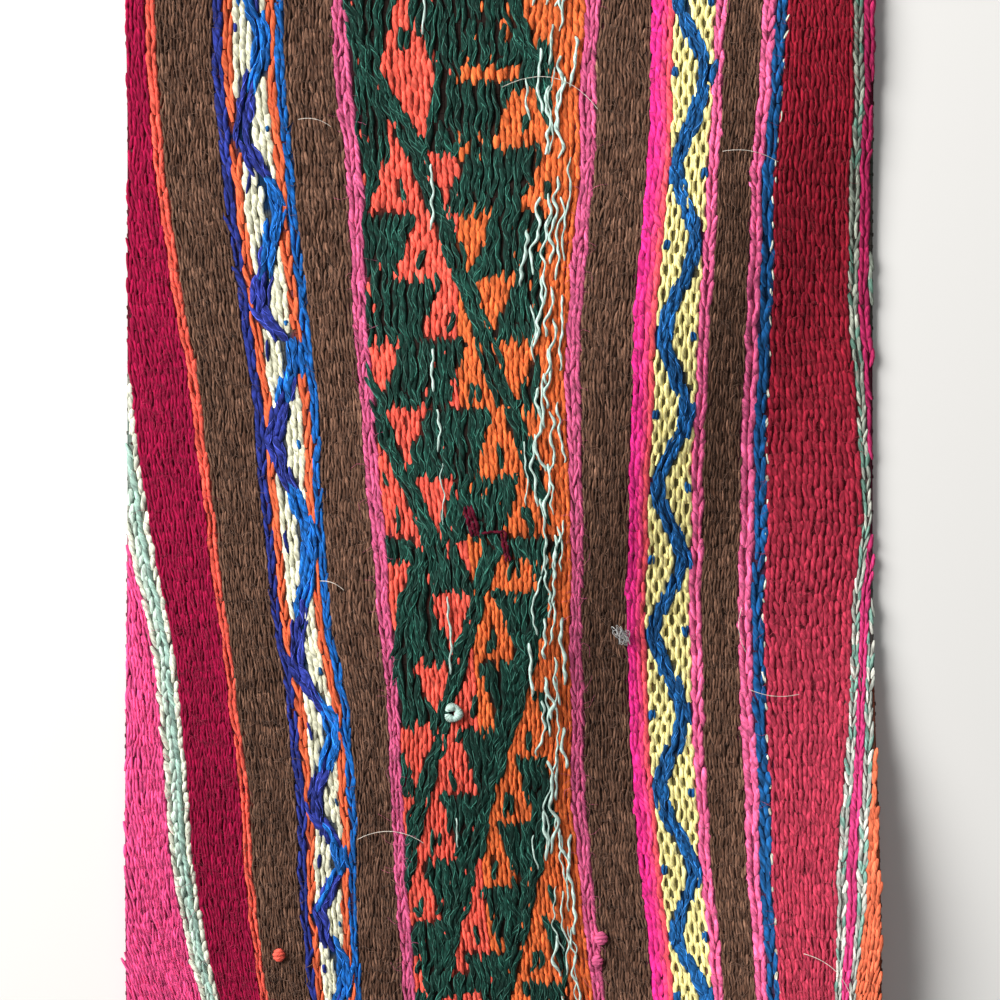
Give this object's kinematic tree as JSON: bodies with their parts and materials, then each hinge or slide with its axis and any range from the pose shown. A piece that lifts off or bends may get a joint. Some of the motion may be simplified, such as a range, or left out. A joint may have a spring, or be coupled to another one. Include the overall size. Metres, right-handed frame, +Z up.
{
  "type": "cut length of aguayo carrying cloth",
  "caption": "Cut length of warp-faced aguayo carrying cloth with plain stripes and figured bands, lying in soft swells on a surface.",
  "frame": {"origin": "middle of the cloth's outline, on the surface that it rests on", "axes": "+X across the stripes, +Y along the warp, +Z up out of the cloth's face"},
  "size_m": [0.125, 0.19, 0.0104],
  "materials": {
    "woven_wool": "matt spun yarn in many colours, warp-faced, slightly fuzzy"
  },
  "bodies": {
    "root": {"woven_panel": "woven_wool"}
  },
  "joints": []
}
